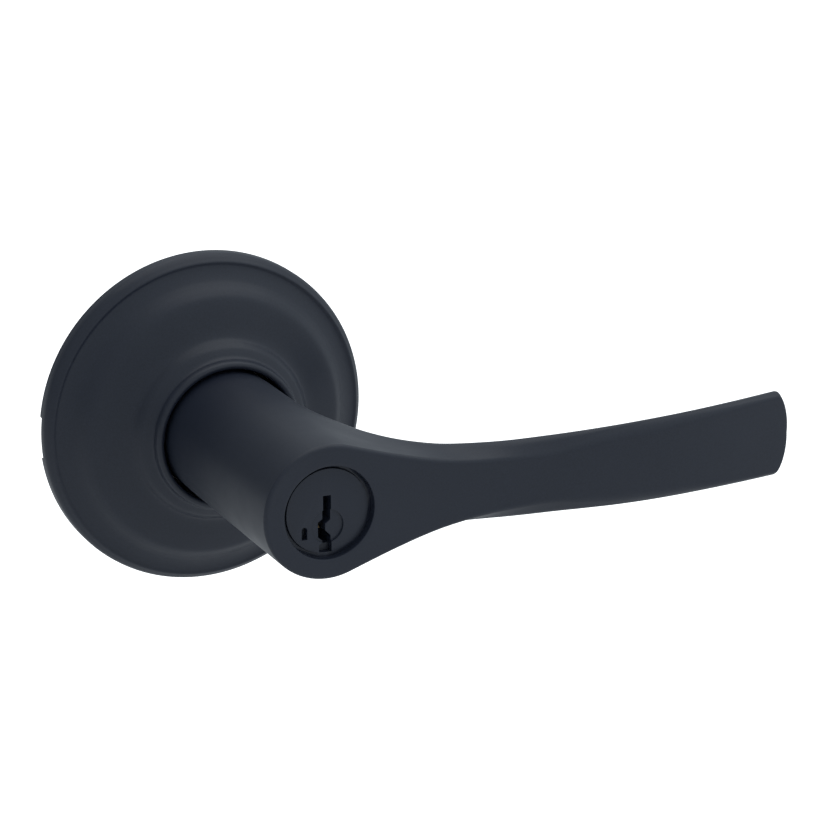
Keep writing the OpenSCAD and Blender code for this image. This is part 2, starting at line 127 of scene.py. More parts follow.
def quad_faces(rows: int, columns: int, first: int, ring_rows: bool, ring_columns: bool) -> np.ndarray:
    """Faces of a grid of quads.

    Args:
        rows: Number of rows of points.
        columns: Number of points in each row.
        first: Index of the grid's first point.
        ring_rows: Whether the last row joins the first one.
        ring_columns: Whether the last column joins the first one.

    Returns:
        Array of shape (faces, 4) of point indices.
    """
    r = np.arange(rows if ring_rows else rows - 1)[:, None]
    c = np.arange(columns if ring_columns else columns - 1)[None, :]
    r2, c2 = (r + 1) % rows, (c + 1) % columns
    corners = [r * columns + c, r2 * columns + c, r2 * columns + c2, r * columns + c2]
    return first + np.stack([np.broadcast_to(k, (r.size, c.size)) for k in corners], axis=-1).reshape(-1, 4)


@dataclass
class Grid:
    """A grid of local points and how its edges join."""

    points: np.ndarray
    ring_rows: bool = False
    ring_columns: bool = False


def piece_from_grids(name: str, grids: list[Grid], sharp_deg: float = 40.0) -> bpy.types.Object:
    """One closed piece made of grids whose shared edges are welded.

    Args:
        name: Name of the piece.
        grids: The grids, in local millimetres.
        sharp_deg: Edges that turn by more than this stay sharp in the shading.

    Returns:
        The new object, at the origin, with its faces pointing outwards.
    """
    points, faces, first = [], [], 0
    for grid in grids:
        rows, columns = grid.points.shape[:2]
        points.append(grid.points.reshape(-1, 3))
        faces.append(quad_faces(rows, columns, first, grid.ring_rows, grid.ring_columns))
        first += rows * columns
    mesh = bpy.data.meshes.new(name)
    mesh.from_pydata(out_of_door(np.concatenate(points)), [], np.concatenate(faces).tolist())
    return weld(name, mesh, sharp_deg)


def weld(name: str, mesh: bpy.types.Mesh, sharp_deg: float) -> bpy.types.Object:
    """Merges a mesh's doubled points, turns its faces outwards and makes it an object.

    Args:
        name: Name of the object.
        mesh: The mesh, in the shared frame.
        sharp_deg: Edges that turn by more than this stay sharp in the shading.

    Returns:
        The new object, linked to the scene.
    """
    shape = bmesh.new()
    shape.from_mesh(mesh)
    bmesh.ops.remove_doubles(shape, verts=shape.verts, dist=WELD_GAP)
    bmesh.ops.dissolve_degenerate(shape, edges=shape.edges, dist=TINY_EDGE)
    bmesh.ops.recalc_face_normals(shape, faces=shape.faces)
    shape.to_mesh(mesh)
    shape.free()
    mesh.shade_smooth()
    mesh.set_sharp_from_angle(angle=math.radians(sharp_deg))
    piece = bpy.data.objects.new(name, mesh)
    bpy.context.scene.collection.objects.link(piece)
    return piece


def softened(node: str, name: str, radius: float, segments: int = 2) -> bpy.types.Object:
    """A copy of a node of the frame whose edges are slightly rounded, as on the made part.

    The copy's loose triangles are merged and its flat faces joined, and a Bevel rounds what is left.

    Args:
        node: Name of the node.
        name: Name of the new piece.
        radius: Width of the rounding in millimetres.
        segments: Number of facets in each rounding.

    Returns:
        The new object, which stands for the node.
    """
    shape = bmesh.new()
    shape.from_mesh(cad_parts[node].data)
    bmesh.ops.remove_doubles(shape, verts=shape.verts, dist=WELD_GAP)
    bmesh.ops.dissolve_limit(
        shape, angle_limit=math.radians(FLAT_DEG), verts=shape.verts, edges=shape.edges, delimit={"NORMAL"}
    )
    mesh = bpy.data.meshes.new(name)
    shape.to_mesh(mesh)
    shape.free()
    mesh.materials.clear()
    mesh.shade_smooth()
    piece = bpy.data.objects.new(name, mesh)
    bpy.context.scene.collection.objects.link(piece)
    bevel = piece.modifiers.new("rounded edges", "BEVEL")
    bevel.width = radius * MM
    bevel.segments = segments
    bevel.limit_method = "ANGLE"
    bevel.angle_limit = math.radians(BEVEL_DEG)
    bevel.harden_normals = True
    return piece


# ---- Finishes ----
class Nodes:
    """A tree of shader nodes that is built up call by call."""

    def __init__(self, tree: bpy.types.NodeTree) -> None:
        """Holds the tree."""
        self.tree = tree

    def node(self, kind: str, values: dict[str | int, float | tuple[float, ...]]) -> bpy.types.Node:
        """Adds a node.

        Args:
            kind: The node's type, without its leading ShaderNode.
            values: Constants for the node's inputs.

        Returns:
            The new node.
        """
        node = self.tree.nodes.new(f"ShaderNode{kind}")
        for socket, value in values.items():
            node.inputs[socket].default_value = value
        return node

    def link(self, source: bpy.types.NodeSocket, target: bpy.types.NodeSocket) -> None:
        """Joins two sockets."""
        self.tree.links.new(source, target)


class Graph(Nodes):
    """The nodes of one material."""

    NOISE_LOW = 0.3
    NOISE_HIGH = 0.7
    MIX_COLOUR_A = 6
    MIX_COLOUR_B = 7
    MIX_COLOUR_RESULT = 2

    def __init__(self, name: str) -> None:
        """Starts a material whose shader is a bare Principled one."""
        self.material = bpy.data.materials.new(name)
        self.material.use_nodes = True
        super().__init__(self.material.node_tree)
        self.shader = self.tree.nodes["Principled BSDF"]
        self.place = self.node("TexCoord", {}).outputs["Object"]

    def stretched(self, scale: tuple[float, float, float]) -> bpy.types.NodeSocket:
        """Object coordinates scaled along each axis."""
        mapping = self.node("Mapping", {"Scale": scale})
        self.link(self.place, mapping.inputs["Vector"])
        return mapping.outputs["Vector"]

    def turned_lines(self) -> bpy.types.NodeSocket:
        """Coordinates that change with the distance from the lock's axis and along it only.

        Returns:
            The vector (sqrt(x^2 + z^2), y, 0).
        """
        flat = self.node("VectorMath", {1: (1, 0, 1)})
        flat.operation = "MULTIPLY"
        self.link(self.place, flat.inputs[0])
        length = self.node("VectorMath", {})
        length.operation = "LENGTH"
        self.link(flat.outputs["Vector"], length.inputs[0])
        split = self.node("SeparateXYZ", {})
        self.link(self.place, split.inputs[0])
        joined = self.node("CombineXYZ", {"Z": 0.0})
        self.link(length.outputs["Value"], joined.inputs["X"])
        self.link(split.outputs["Y"], joined.inputs["Y"])
        return joined.outputs["Vector"]

    def noise(self, vector: bpy.types.NodeSocket, scale: float, detail: float = 2.0) -> bpy.types.NodeSocket:
        """Noise from 0 to 1 at a scale per metre of its vector."""
        noise = self.node("TexNoise", {"Scale": scale, "Detail": detail})
        self.link(vector, noise.inputs["Vector"])
        return noise.outputs["Fac"]

    def spread(self, value: bpy.types.NodeSocket, low: float, high: float) -> bpy.types.NodeSocket:
        """The range in which noise mostly lies, carried to low and high."""
        ranged = self.node("MapRange", {
            "From Min": self.NOISE_LOW, "From Max": self.NOISE_HIGH, "To Min": low, "To Max": high})
        self.link(value, ranged.inputs["Value"])
        return ranged.outputs["Result"]

    def blend_colours(
        self,
        share: bpy.types.NodeSocket,
        first: tuple[float, float, float] | bpy.types.NodeSocket,
        second: tuple[float, float, float],
    ) -> bpy.types.NodeSocket:
        """Mixes a colour, or a colour socket, with a second colour by a share from 0 to 1."""
        mix = self.node("Mix", {self.MIX_COLOUR_B: (*second, 1)})
        mix.data_type = "RGBA"
        self.link(share, mix.inputs[0])
        if isinstance(first, tuple):
            mix.inputs[self.MIX_COLOUR_A].default_value = (*first, 1)
        else:
            self.link(first, mix.inputs[self.MIX_COLOUR_A])
        return mix.outputs[self.MIX_COLOUR_RESULT]

    def bump(self, height: bpy.types.NodeSocket, strength: float, depth_mm: float) -> None:
        """Adds relief under any relief that is there already."""
        bump = self.node("Bump", {"Strength": strength, "Distance": depth_mm * MM})
        self.link(height, bump.inputs["Height"])
        target = self.shader.inputs["Normal"]
        if target.is_linked:
            self.link(target.links[0].from_socket, bump.inputs["Normal"])
        self.link(bump.outputs["Normal"], target)


class Grain(Enum):
    """The way that a metal's tool marks run, each with its number of marks per metre."""

    CAST = 1500.0
    TURNED = 4200.0
    DRAWN = 3600.0
    ROLLED = 2600.0


@dataclass(frozen=True)
class PowderCoat:
    """Baked powder coat: fine pebbling, faint clouds and slightly uneven sheen."""

    name: str
    colour: tuple[float, float, float]
    cloud: tuple[float, float, float]
    sheen_low: float
    sheen_high: float
    pebble_per_m: float = 3200.0
    pebble_depth_mm: float = 0.02
    pebble_strength: float = 0.22
    cloud_per_m: float = 55.0
    speck_ratio: float = 0.8
    speck_share: float = 0.55
    speck_gain: float = 1.35
    sheen_per_m: float = 130.0
    swell_per_m: float = 420.0
    swell_depth_mm: float = 0.03
    swell_strength: float = 0.12

    def make(self) -> bpy.types.Material:
        """Builds the finish.

        Returns:
            A material of clouded colour, varied roughness and two sizes of relief.
        """
        graph = Graph(self.name)
        clouds = graph.noise(graph.place, self.cloud_per_m, 4.0)
        specks = graph.noise(graph.place, self.pebble_per_m * self.speck_ratio)
        colour = graph.blend_colours(graph.spread(clouds, 0.0, 1.0), self.colour, self.cloud)
        lighter = tuple(channel * self.speck_gain for channel in self.cloud)
        colour = graph.blend_colours(graph.spread(specks, 0.0, self.speck_share), colour, lighter)
        graph.link(colour, graph.shader.inputs["Base Color"])
        patches = graph.noise(graph.place, self.sheen_per_m, 3.0)
        graph.link(graph.spread(patches, self.sheen_low, self.sheen_high), graph.shader.inputs["Roughness"])
        graph.shader.inputs["Specular IOR Level"].default_value = 0.5
        pebbles = graph.noise(graph.place, self.pebble_per_m)
        graph.bump(pebbles, self.pebble_strength, self.pebble_depth_mm)
        swell = graph.noise(graph.place, self.swell_per_m, 1.0)
        graph.bump(swell, self.swell_strength, self.swell_depth_mm)
        return graph.material


@dataclass(frozen=True)
class BareMetal:
    """Bare or plated metal with the marks that its making leaves."""

    name: str
    colour: tuple[float, float, float]
    stain: tuple[float, float, float]
    rough_low: float
    rough_high: float
    grain: Grain
    mark_depth_mm: float = 0.01
    mark_strength: float = 0.3
    stain_share: float = 0.5
    stain_per_m: float = 160.0
    drawn_stretch: tuple[float, float, float] = (1.0, 0.03, 1.0)
    rolled_stretch: tuple[float, float, float] = (0.04, 1.0, 1.0)

    def marks(self, graph: Graph) -> bpy.types.NodeSocket:
        """Height of the tool marks.

        Args:
            graph: The material being built.

        Returns:
            Noise that runs round the axis, along it, across the sheet or every way.
        """
        per_m = self.grain.value
        if self.grain is Grain.TURNED:
            return graph.noise(graph.turned_lines(), per_m, 3.0)
        if self.grain is Grain.DRAWN:
            return graph.noise(graph.stretched(self.drawn_stretch), per_m, 3.0)
        if self.grain is Grain.ROLLED:
            return graph.noise(graph.stretched(self.rolled_stretch), per_m, 3.0)
        return graph.noise(graph.place, per_m, 4.0)

    def make(self) -> bpy.types.Material:
        """Builds the finish.

        Returns:
            A metal whose colour is stained in patches and whose sheen follows the tool marks.
        """
        graph = Graph(self.name)
        graph.shader.inputs["Metallic"].default_value = 1.0
        patches = graph.noise(graph.place, self.stain_per_m, 5.0)
        colour = graph.blend_colours(graph.spread(patches, 0.0, self.stain_share), self.colour, self.stain)
        graph.link(colour, graph.shader.inputs["Base Color"])
        marks = self.marks(graph)
        graph.link(graph.spread(marks, self.rough_low, self.rough_high), graph.shader.inputs["Roughness"])
        graph.bump(marks, self.mark_strength, self.mark_depth_mm)
        return graph.material


@dataclass(frozen=True)
class Moulded:
    """Moulded plastic with a fine spark-eroded skin."""

    name: str
    colour: tuple[float, float, float]
    shade: tuple[float, float, float]
    cloud_per_m: float = 90.0
    sheen_low: float = 0.38
    sheen_high: float = 0.5
    sheen_per_m: float = 300.0
    skin_per_m: float = 2500.0
    skin_strength: float = 0.15
    skin_depth_mm: float = 0.015

    def make(self) -> bpy.types.Material:
        """Builds the finish.

        Returns:
            A plastic of faintly clouded colour with a fine even relief.
        """
        graph = Graph(self.name)
        clouds = graph.spread(graph.noise(graph.place, self.cloud_per_m, 3.0), 0.0, 1.0)
        graph.link(graph.blend_colours(clouds, self.colour, self.shade), graph.shader.inputs["Base Color"])
        sheen = graph.spread(graph.noise(graph.place, self.sheen_per_m), self.sheen_low, self.sheen_high)
        graph.link(sheen, graph.shader.inputs["Roughness"])
        graph.bump(graph.noise(graph.place, self.skin_per_m), self.skin_strength, self.skin_depth_mm)
        return graph.material


class Finishes:
    """All finishes of the lever set, each made once."""

    def __init__(self) -> None:
        """Makes every finish."""
        coat, cloud = (0.0125, 0.0165, 0.029), (0.0165, 0.021, 0.035)
        self.black = PowderCoat("black_powder_coat", coat, cloud, 0.36, 0.42).make()
        self.black_plug = PowderCoat(
            "black_cylinder_coat", coat, cloud, 0.33, 0.39, pebble_per_m=4200.0, pebble_depth_mm=0.012
        ).make()
        self.plated_sheet = BareMetal(
            "zinc_plated_sheet", (0.60, 0.60, 0.58), (0.50, 0.51, 0.53), 0.30, 0.42, Grain.ROLLED
        ).make()
        self.plated_turned = BareMetal(
            "zinc_plated_turned", (0.62, 0.62, 0.60), (0.52, 0.53, 0.55), 0.24, 0.38, Grain.TURNED
        ).make()
        self.plated_drawn = BareMetal(
            "zinc_plated_drawn", (0.60, 0.60, 0.59), (0.48, 0.49, 0.52), 0.26, 0.40, Grain.DRAWN
        ).make()
        self.spring = BareMetal(
            "oiled_spring_steel", (0.30, 0.30, 0.31), (0.20, 0.20, 0.22), 0.22, 0.34, Grain.CAST, 0.006
        ).make()
        self.casting = BareMetal(
            "zinc_casting", (0.42, 0.42, 0.43), (0.33, 0.33, 0.35), 0.42, 0.58, Grain.CAST, 0.03
        ).make()
        self.brass = BareMetal(
            "machined_brass", (0.72, 0.52, 0.22), (0.55, 0.38, 0.16), 0.26, 0.40, Grain.TURNED
        ).make()
        self.brass_sheet = BareMetal(
            "stamped_brass", (0.74, 0.54, 0.24), (0.58, 0.41, 0.18), 0.30, 0.42, Grain.DRAWN
        ).make()
        self.acetal = Moulded("acetal", (0.62, 0.60, 0.54), (0.56, 0.54, 0.48)).make()


def dress(piece: bpy.types.Object, material: bpy.types.Material) -> None:
    """Gives an object one finish all over."""
    piece.data.materials.clear()
    piece.data.materials.append(material)


def dress_nodes(nodes: dict[str, bpy.types.Material]) -> None:
    """Gives nodes of the frame their finishes and reports each one."""
    for node, material in nodes.items():
        dress(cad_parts[node], material)
        log.info("%s carried over in %s", node, material.name)


def stand_for(piece: bpy.types.Object, node: str, body: str) -> None:
    """Lets a piece ride on a body in a node's stead and reports it."""
    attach(piece, body)
    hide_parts(node)
    log.info("%s stands for %s: %d points", piece.name, node, len(piece.data.vertices))


def soften_nodes(parts: list[tuple[str, str, float, bpy.types.Material, str, str]]) -> None:
    """Lets softened copies stand for nodes, each in one finish.

    Args:
        parts: For each, its node, the copy's name, the rounding in mm, finish, body and slot.
    """
    for node, name, rounding, material, body, slot in parts:
        piece = softened(node, name, rounding)
        dress(piece, material)
        stand_for(piece, node, body)


# ---- Rose ----
@dataclass
class Rose:
    """The bell-shaped cover on the door: a turned profile with a pry notch in its rim."""

    radius: float = 40.0
    wall_h: float = 2.0
    lip_radius: float = 16.2
    height: float = 18.6
    sheet: float = 1.2
    skirt: float = 4.0
    notch_half: float = 5.0
    notch_depth: float = 1.1
    notch_wall_deg: float = 0.15
    notch_sides: int = 14
    sides: int = 360
    wall_points: int = 6
    slope_points: int = 172
    rim_points: int = 29
    lip_points: int = 32
    under_step: int = 4
    under_drop: float = 1.35
    foot_room: float = 0.1

    def slope(self) -> list[tuple[float, float]]:
        """Knots (distance from the axis, height) of the slope from the rim up to the lip."""
        return [
            (self.radius, self.wall_h), (39.85, 2.85), (39.4, 3.65), (38.85, 4.25), (38.5, 4.62),
            (38.2, 4.82), (37.5, 4.72), (36.2, 5.15), (34.4, 6.2), (33.4, 7.1), (32.2, 8.4),
            (31.0, 9.4), (29.6, 10.0), (27.0, 10.8), (24.0, 11.7), (22.4, 12.35), (21.7, 12.9),
            (21.1, 13.8), (20.4, 14.7), (19.5, 15.35), (18.6, 15.95), (18.2, 16.5), (18.0, 17.5),
            (17.7, 18.25), (17.1, self.height), (16.5, self.height - 0.1),
            (self.lip_radius, self.height - 0.5),
        ]

    def outline(self) -> np.ndarray:
        """The profile's closed outline, from the door up the outside and back down the inside.

        The rim and the slope are one smooth curve through knots by their running length. Between the
        rim and the lip the inside follows every few points of the outside, lower down.

        Returns:
            Array of shape (points, 2) of distance from the axis and height.
        """
        knots = np.array(self.slope())
        length = np.concatenate([[0], np.cumsum(np.linalg.norm(np.diff(knots, axis=0), axis=1))])
        at = np.linspace(0, length[-1], self.slope_points)
        slope = np.stack([curve_through(list(zip(length, knots[:, i])), at) for i in (0, 1)], 1)
        wall_h = np.linspace(0, self.wall_h, self.wall_points, endpoint=False)
        wall = np.stack([np.full(self.wall_points, self.radius), wall_h], 1)
        inner_lip = np.array([[self.lip_radius, self.height - self.skirt]])
        under = slope[self.rim_points:-self.lip_points:self.under_step][::-1]
        under = under - [0, self.under_drop * self.sheet]
        inner_rim = self.radius - self.sheet
        foot = np.array([[inner_rim, self.wall_h + self.foot_room], [inner_rim, 0]])
        return np.concatenate([wall, slope, inner_lip, under, foot])

    def build(self) -> bpy.types.Object:
        """Turns the outline round the axis and raises its foot in the notch.

        A point is (r cos a, r sin a, h) for the angle a, and in the notch h is at least the depth.

        Returns:
            The rose's piece.
        """
        outline = self.outline()
        edge = math.asin(self.notch_half / self.radius)
        angles = np.linspace(math.pi + edge, 3 * math.pi - edge, self.sides)
        notch = np.linspace(math.pi - edge, math.pi + edge, self.notch_sides)
        wall = math.radians(self.notch_wall_deg)
        angles = np.concatenate([angles[:-1], [2 * math.pi + notch[0] - wall], 2 * math.pi + notch])
        inside = np.concatenate([np.zeros(self.sides), np.ones(len(notch))]).astype(bool)
        radius = np.broadcast_to(outline[None, :, 0], (len(angles), len(outline)))
        height = np.where(
            inside[:, None], np.maximum(outline[None, :, 1], self.notch_depth), outline[None, :, 1]
        )
        a = angles[:, None]
        points = np.stack([radius * np.cos(a), radius * np.sin(a), height], -1)
        return piece_from_grids("rose", [Grid(points, ring_rows=True, ring_columns=True)], sharp_deg=35)


# ---- Lever ----
@dataclass
class Lever:
    """The lever: a round hub that flows into an arm with a creased face and a rounded back.

    Every cross-section is one loop of columns: the flat face, a rounded crease, a side strip, a
    rounded widest edge, the back, and the same again mirrored below.
    """

    neck: float = 15.3
    base: float = 8.0
    face: float = 75.0
    reach: float = 118.6
    waist: float = 5.5
    tip: float = 10.5
    bow: float = 1.1
    tip_drop: float = 3.6
    leave_deg: float = 16.8
    lip: float = 10.55
    lip_t: float = 2.0
    lip_chamfer: float = 0.35
    bore: float = 11.6
    tip_sag: float = 1.9
    tip_corner: float = 1.8
    tip_power: float = 2.4
    tip_inset: float = 0.7
    tip_back_inset: float = 2.2
    edge_round: float = 1.7
    ring_room: float = 2.6
    catch_h: float = 28.0
    catch_hole: float = 2.4
    hub_low: float = 28.0
    hub_high: float = 38.0
    face_columns: int = 28
    crease_columns: int = 9
    side_columns: int = 10
    edge_columns: int = 8
    back_columns: int = 44
    neck_rows: int = 12
    rim_to_arm_rows: int = 25
    root_rows: int = 25
    root_share: float = 0.06
    arm_main_rows: int = 149
    tip_rows: int = 53
    ring_rows: int = 7
    sharp_deg: float = 32.0

    def __post_init__(self) -> None:
        """Works out where the arm leaves the hub's circle."""
        self.leave = math.radians(self.leave_deg)
        self.wrap = math.pi / 2 - self.leave
        self.leave_x = self.neck * math.sin(self.leave)
        self.leave_y = self.neck * math.cos(self.leave)
        self.arm = self.reach - self.leave_x

    def laws(self) -> dict[str, list[tuple[float, float]]]:
        """Knots of the arm's sizes along its length, from 0 at the hub to 1 at the tip."""
        waist, tip, bow, start = self.waist, self.tip, self.bow, self.leave_y
        return {
            "front": [(0, 0), (0.16, 0), (0.30, 0.1 * bow), (0.44, 0.72 * bow), (0.55, bow),
                      (0.65, 0.93 * bow), (0.75, 0.22 * bow), (0.86, -0.3 * self.tip_drop),
                      (1, -self.tip_drop)],
            "crease": [(0, start), (0.10, 0.6 * start + 0.4 * waist), (0.20, 0.27 * start + 0.73 * waist),
                       (0.31, 0.07 * start + 0.93 * waist), (0.43, waist), (0.50, waist + 0.08 * tip),
                       (0.575, 0.70 * tip), (0.70, 0.80 * tip), (0.86, 0.87 * tip), (1, 0.885 * tip)],
            "side": [(0, start), (0.10, 0.31 * start + 0.64 * tip), (0.205, 0.91 * tip),
                     (0.29, 0.885 * tip), (0.43, 0.90 * tip), (0.60, 0.93 * tip), (0.80, 0.96 * tip),
                     (1, tip)],
            "edge": [(0, 37), (0.02, 30.5), (0.05, 25), (0.091, 18.6), (0.14, 13), (0.20, 8.6),
                     (0.27, 5.5), (0.347, 2.9), (0.43, 1.6), (0.52, 0.8), (0.61, 0.6), (0.73, 1.2),
                     (0.86, 2.8), (1, 5.1)],
            "back": [(0, 37), (0.02, 31), (0.05, 26.5), (0.091, 21), (0.14, 16.5), (0.20, 13),
                     (0.27, 10.6), (0.347, 9.3), (0.43, 8.3), (0.52, 7.5), (0.61, 7.2), (0.73, 7.8),
                     (0.86, 9.3), (1, 11.8)],
            "round": [(0, 0.9), (0.10, 0.9), (0.22, 1.1), (0.33, 1.6), (0.45, 2.6), (0.58, 4.0),
                      (0.72, 3.0), (0.86, 1.5), (1, 0.8)],
        }

    def on_neck(self, angle: np.ndarray, h: np.ndarray, radius: np.ndarray | float) -> np.ndarray:
        """Points on a circle about the lock's axis, angles measured from y towards x."""
        return np.stack(np.broadcast_arrays(radius * np.sin(angle), radius * np.cos(angle), h), -1)

    def hub_rows(self) -> dict[str, np.ndarray]:
        """Driving values of the rows on the neck, over the rim and across the hub's face.

        Returns:
            For each row: the turn of the rim, the face's height and radius, the bulge of the face's
            row, the height of the back row and how far the crease has turned up.
        """
        r = self.laws()["round"][0][1]
        up = np.linspace(0, 1, self.neck_rows)
        turn = np.radians(np.linspace(0, 90, self.crease_columns))[1:]
        across = np.linspace(0, 1, self.rim_to_arm_rows + 1)[1:]
        n_up, n_turn, n_across = len(up), len(turn), len(across)
        neck_low = self.base + (self.hub_low - self.base) * up
        return {
            "share": np.concatenate([np.zeros(n_up + n_turn), across]),
            "height": np.concatenate([
                self.base + (self.face - r - self.base) * up,
                self.face - r + r * np.sin(turn),
                np.full(n_across, self.face)]),
            "radius": np.concatenate([
                np.full(n_up, self.neck), self.neck - r + r * np.cos(turn),
                np.full(n_across, self.neck - r)]),
            "low": np.concatenate([
                neck_low, np.full(n_turn, self.hub_low),
                self.hub_low + (self.hub_high - self.hub_low) * across]),
            "side_top": np.concatenate([
                self.base + (self.face - r - self.base) * up, np.full(n_turn + n_across, self.face - r)]),
            "raised": np.concatenate([np.zeros(n_up), turn, np.full(n_across, math.pi / 2)]),
            "first_flat": np.array([n_up + n_turn - 1]),
        }

    def hub_half(self, rows: dict[str, np.ndarray]) -> dict[str, np.ndarray]:
        """Columns of the hub's rows, on the upper half.

        The crease turns from the face's normal to the neck's about a centre one radius inside.

        Args:
            rows: The values of hub_rows().

        Returns:
            Arrays of points for the face, the crease, the side with its edge, and the back.
        """
        rim = self.leave * (2 * rows["share"] - 1)
        bulge = 1 - rows["share"]
        a = np.linspace(-self.wrap, self.wrap, self.face_columns + 1)[None, :]
        radius = rows["radius"][:, None]
        x = radius * np.sin(rim)[:, None]
        x = x - bulge[:, None] * radius * (np.cos(a) - math.cos(self.wrap))
        y = radius * np.cos(rim)[:, None] * np.sin(a) / math.sin(self.wrap)
        face = np.stack([x, y, np.broadcast_to(rows["height"][:, None], x.shape)], -1)
        r = self.laws()["round"][0][1]
        w = np.linspace(0, 1, self.crease_columns)
        raised = rows["raised"][:, None] * (1 - w[None, :])
        crease = self.on_neck(
            rim[:, None], rows["side_top"][:, None] + r * np.sin(raised), self.neck - r + r * np.cos(raised)
        )
        side_w = np.linspace(0, 1, self.side_columns + 1)[None, :]
        top, low = rows["side_top"][:, None], rows["low"][:, None]
        cut = self.edge_round / np.maximum(np.abs(top - low), 4 * self.edge_round)
        w = side_w * (1 - cut)
        side = self.on_neck(rim[:, None] + (self.leave - rim[:, None]) * w, top + (low - top) * w, self.neck)
        u0 = self.back_cut(np.full(len(rim), self.leave_y), np.ones(len(rim)))[:, None]
        u = u0 + (1 - 2 * u0) * np.linspace(0, 1, self.back_columns + 1)[None, :]
        back = self.on_neck(math.pi / 2 - self.wrap * (1 - 2 * u), low, self.neck)
        t = np.linspace(0, 1, self.edge_columns + 1)[None, 1:-1]
        first, last = side[:, -1][:, None], back[:, 0][:, None]
        corner = self.on_neck(np.full_like(rim, self.leave), rows["low"], self.neck)[:, None]
        edge = self.rounded(first, corner, last, t[0])
        edge[..., :2] *= self.neck / np.linalg.norm(edge[..., :2], axis=-1, keepdims=True)
        ends = back[:, :1]
        return {"face": face, "crease": crease, "side": np.concatenate([side, edge, ends], 1), "back": back}

    @staticmethod
    def rounded(first: np.ndarray, corner: np.ndarray, last: np.ndarray, t: np.ndarray) -> np.ndarray:
        """Quadratic Bezier curve (1-t)^2 first + 2t(1-t) corner + t^2 last, for each row."""
        t = t[None, :, None]
        return (1 - t) ** 2 * first + 2 * t * (1 - t) * corner + t**2 * last

    def back_cut(self, half: np.ndarray, depth: np.ndarray) -> np.ndarray:
        """Share of the back's row that the rounded widest edge takes, from the row's first speed."""
        across = half * math.cos(self.wrap) / math.sin(self.wrap)
        down = depth * math.sin(self.wrap) / (1 - math.cos(self.wrap))
        speed = 2 * self.wrap * np.hypot(across, down)
        least_speed, largest_share = 1e-6, 0.12
        return np.minimum(self.edge_round / np.maximum(speed, least_speed), largest_share)

    def arm_rows(self) -> tuple[np.ndarray, np.ndarray]:
        """Places of the arm's rows and the widths' factor at each.

        At the factor k the tip's outline lies sag k^2 + corner (1 - (1 - k^p)^(1/p)) short of the
        end: a flat arc with rounded corners, walked in steps of equal length.

        Returns:
            The fractions of the arm's length and the factors, which fall to 0 at the tip.
        """
        tip_s = 1 - (self.tip_sag + self.tip_corner) / self.arm
        main = np.concatenate([
            np.linspace(0, self.root_share, self.root_rows + 1)[1:],
            np.linspace(self.root_share, tip_s, self.arm_main_rows + 1)[1:]])
        samples = 4000
        k = np.cos(np.linspace(0, math.pi / 2, samples)).clip(0) ** (1 / self.tip_power)
        corner = 1 - (1 - k**self.tip_power).clip(0) ** (1 / self.tip_power)
        short = self.tip_sag * k**2 + self.tip_corner * corner
        run = np.concatenate([[0], np.cumsum(np.hypot(np.diff(short), np.diff(k) * self.tip))])
        even = np.linspace(0, run[-1], self.tip_rows + 1)[1:]
        k_even = np.interp(even, run, k)
        k_even[-1] = 0
        s_even = 1 - np.interp(even, run, short) / self.arm
        return np.concatenate([main, s_even]), np.concatenate([np.ones(len(main)), k_even])

    def arm_half(self) -> dict[str, np.ndarray]:
        """Columns of the arm's rows, on the upper half.

        A row's crease turns from the face's normal n to the side's normal m about the centre
        P - r (n + m) / (1 + n.m), where P is the sharp crease and r the rounding there.

        Returns:
            Arrays of points for the face, the crease, the side with its edge, and the back.
        """
        s, k = self.arm_rows()
        laws = self.laws()
        at = {key: curve_through(knots, s) for key, knots in laws.items()}
        x = self.leave_x + self.arm * s
        nose = 1 - k
        x_crease = x - self.tip_inset * nose
        y_side = k * at["side"]
        y_crease = k * np.minimum(at["crease"], at["side"])
        h_face = self.face + at["front"]
        h_edge = self.face - at["edge"]
        sharp = np.stack([x_crease, y_crease, h_face], 1)
        widest = np.stack([x, y_side, h_edge], 1)
        along = np.gradient(sharp, axis=0)
        along[-1] = (0, -1, 0)
        rise = np.gradient(curve_through(laws["front"], s), x)
        face_normal = unit(np.stack([-rise, np.zeros_like(rise), np.ones_like(rise)], 1))
        side_normal = unit(np.cross(along, widest - sharp))
        dot = np.sum(face_normal * side_normal, 1)[:, None]
        r = at["round"][:, None]
        centre = sharp - r * (face_normal + side_normal) / (1 + dot)
        w = np.linspace(0, 1, self.crease_columns)
        crease = centre[:, None] + r[..., None] * turned(face_normal, side_normal, w)
        crease[-1, :, 1] = 0
        a = np.linspace(-self.wrap, self.wrap, self.face_columns + 1)[None, :]
        top = crease[:, 0]
        face = np.stack([
            np.broadcast_to(top[:, :1], (len(s), a.size)),
            top[:, 1:2] * np.sin(a) / math.sin(self.wrap),
            np.broadcast_to(top[:, 2:3], (len(s), a.size))], -1)
        start = crease[:, -1]
        length = np.linalg.norm(widest - start, axis=1)
        largest_cut = 0.45
        cut = np.minimum(self.edge_round / length, largest_cut)[:, None, None]
        side_w = np.linspace(0, 1, self.side_columns + 1)[None, :, None] * (1 - cut)
        side = start[:, None] + (widest - start)[:, None] * side_w
        least_k, depth_power, half_way = 1e-3, 0.6, 0.5
        depth = (at["back"] - at["edge"]) * np.maximum(k, least_k) ** depth_power
        reach_back = (self.neck - self.leave_x) * (1 - np.minimum(s / half_way, 1)) ** 2
        x_mid = x + reach_back - self.tip_back_inset * nose
        u0 = self.back_cut(y_side, depth)[:, None]
        u = u0 + (1 - 2 * u0) * np.linspace(0, 1, self.back_columns + 1)[None, :]
        b = self.wrap * (1 - 2 * u)
        q = (np.cos(b) - math.cos(self.wrap)) / (1 - math.cos(self.wrap))
